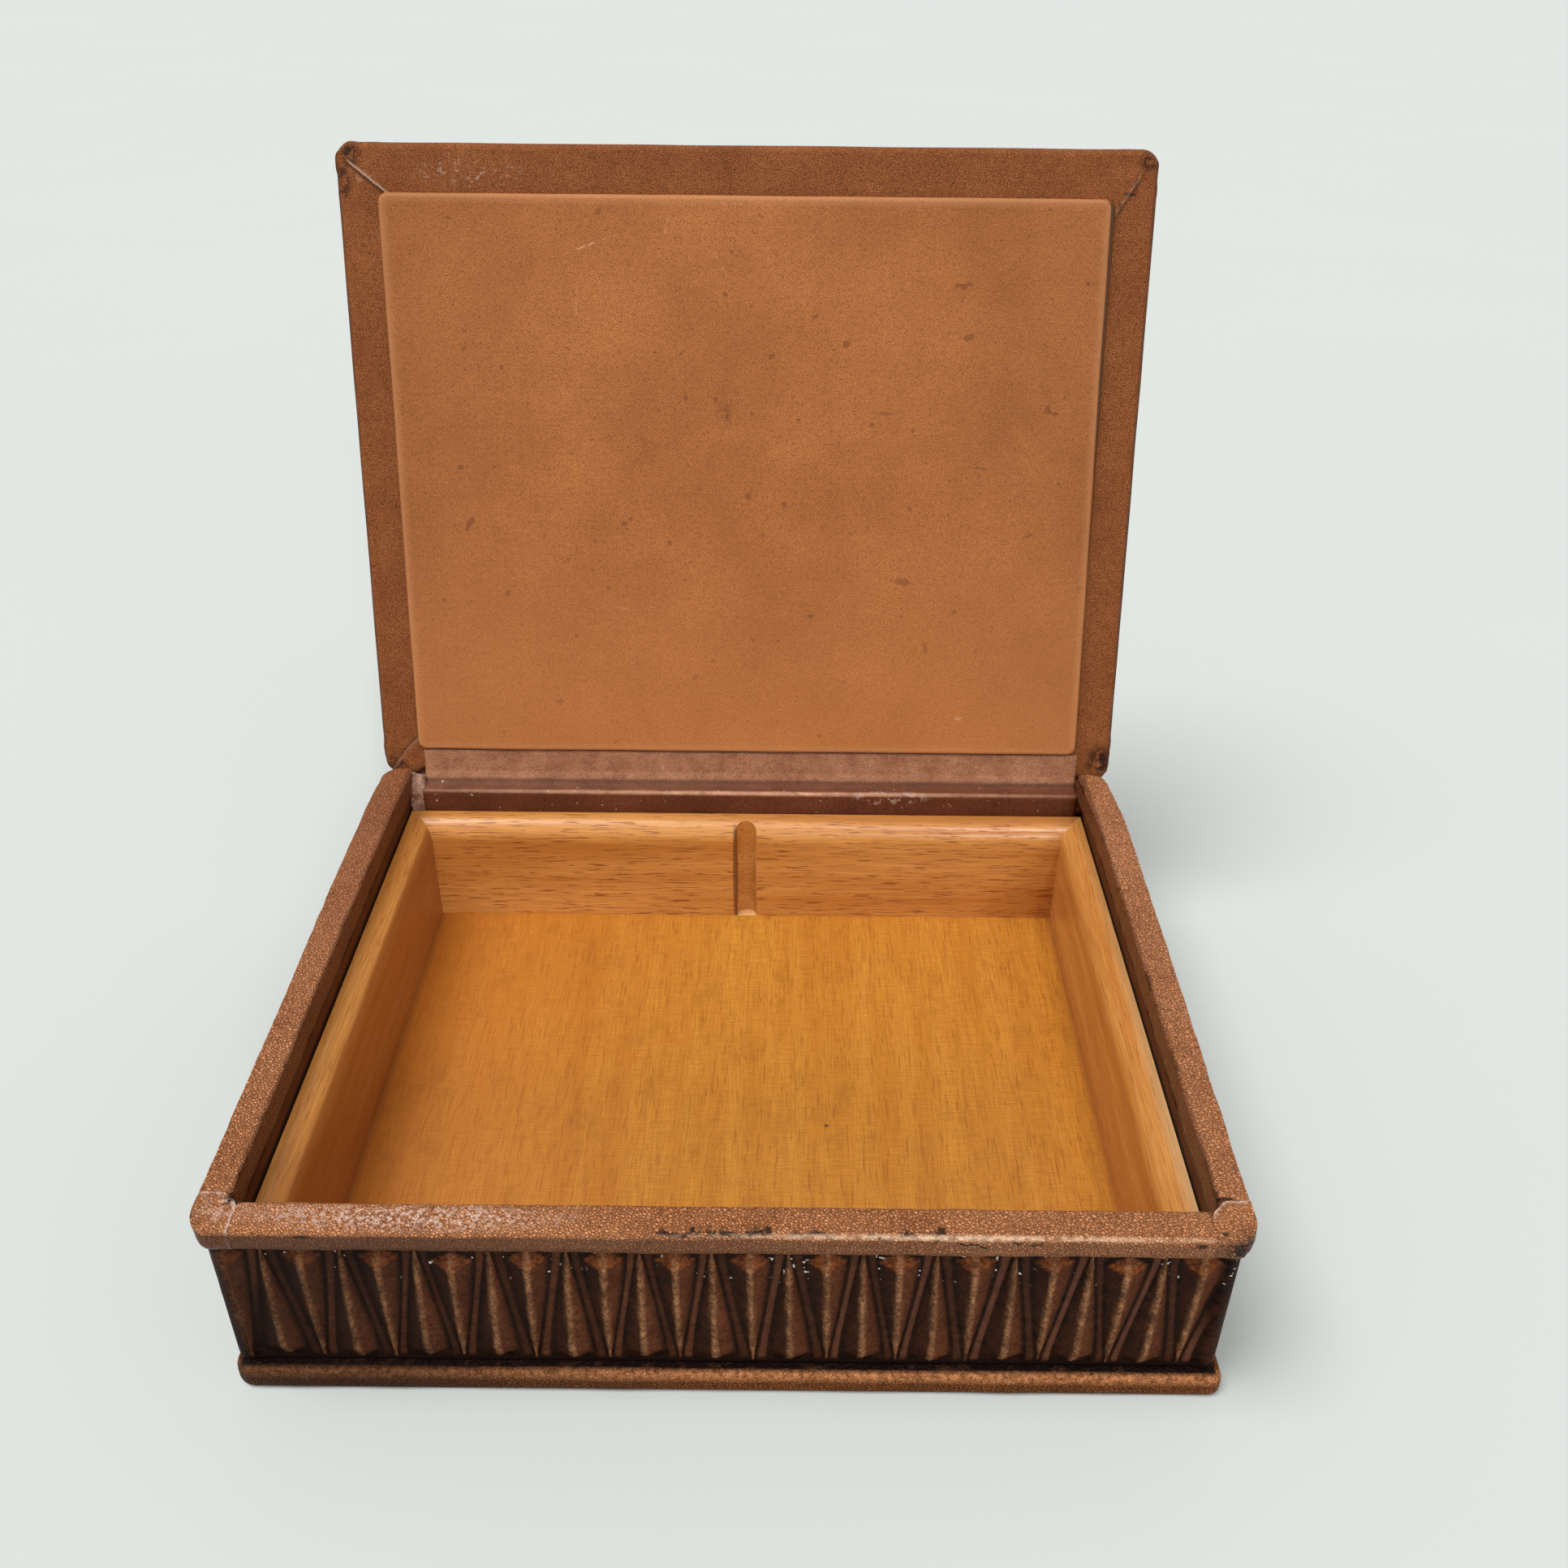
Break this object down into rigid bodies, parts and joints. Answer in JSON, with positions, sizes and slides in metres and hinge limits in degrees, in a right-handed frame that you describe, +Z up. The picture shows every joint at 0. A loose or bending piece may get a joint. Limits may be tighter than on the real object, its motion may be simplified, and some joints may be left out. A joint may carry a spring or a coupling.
{
  "type": "trinket box",
  "caption": "Leather covered keepsake box with a raised rim, a beech lined tray with a divider slot, and a flat lid on a leather hinge",
  "frame": {"origin": "on the table, under the middle of the closed box's outline", "axes": "X to the right along the hinge, Y from the front to the hinge at the back, Z up"},
  "size_m": [0.2056, 0.2104, 0.2063],
  "materials": {
    "hidden_board": "plain fibreboard and softwood, hidden under the leather",
    "tray_wood": "satin varnished beech",
    "floor_wood": "varnished beech veneer with a fine cross grain",
    "embossed_leather": "dark antiqued leather embossed with long kites, rubbed lighter on the ridges",
    "rim_leather": "pebble grained leather over a wooden strip, waxed",
    "base_leather": "fine grained tan brown leather",
    "lid_leather": "reddish brown leather, lightly scuffed",
    "panel_leather": "smooth tan lining leather",
    "dark_leather": "thin dark reddish brown leather"
  },
  "bodies": {
    "box": {"base_board": "hidden_board", "base_leather": "base_leather", "base_lining": "hidden_board", "front_board": "hidden_board", "left_board": "hidden_board", "right_board": "hidden_board", "back_board": "hidden_board", "front_leather": "embossed_leather", "left_leather": "embossed_leather", "right_leather": "embossed_leather", "back_leather": "embossed_leather", "front_rim_core": "hidden_board", "left_rim_core": "hidden_board", "right_rim_core": "hidden_board", "front_rim_leather": "rim_leather", "left_rim_leather": "rim_leather", "right_rim_leather": "rim_leather", "left_corner_patch": "rim_leather", "right_corner_patch": "rim_leather", "front_inner_leather": "dark_leather", "left_inner_leather": "dark_leather", "right_inner_leather": "dark_leather", "tray_floor": "floor_wood", "tray_front": "tray_wood", "tray_back": "tray_wood", "tray_left": "tray_wood", "tray_right": "tray_wood", "hinge_strip_wall": "dark_leather", "hinge_strip_fold": "dark_leather", "spine_wall": "dark_leather", "spine_fold": "dark_leather"},
    "lid": {"hinge_strip_lid": "dark_leather", "spine_lid": "dark_leather", "lid_board": "hidden_board", "lid_infill": "hidden_board", "lid_leather": "lid_leather", "panel_board": "hidden_board", "panel_leather": "panel_leather"}
  },
  "joints": [
    {"name": "lid_hinge", "type": "hinge", "parent": "box", "child": "lid", "pos_m": [0, 0.08155, 0.0481], "axis": [-1, 0, 0], "range_deg": [-104, 0], "deforming": ["hinge_strip_fold", "spine_fold"]}
  ]
}
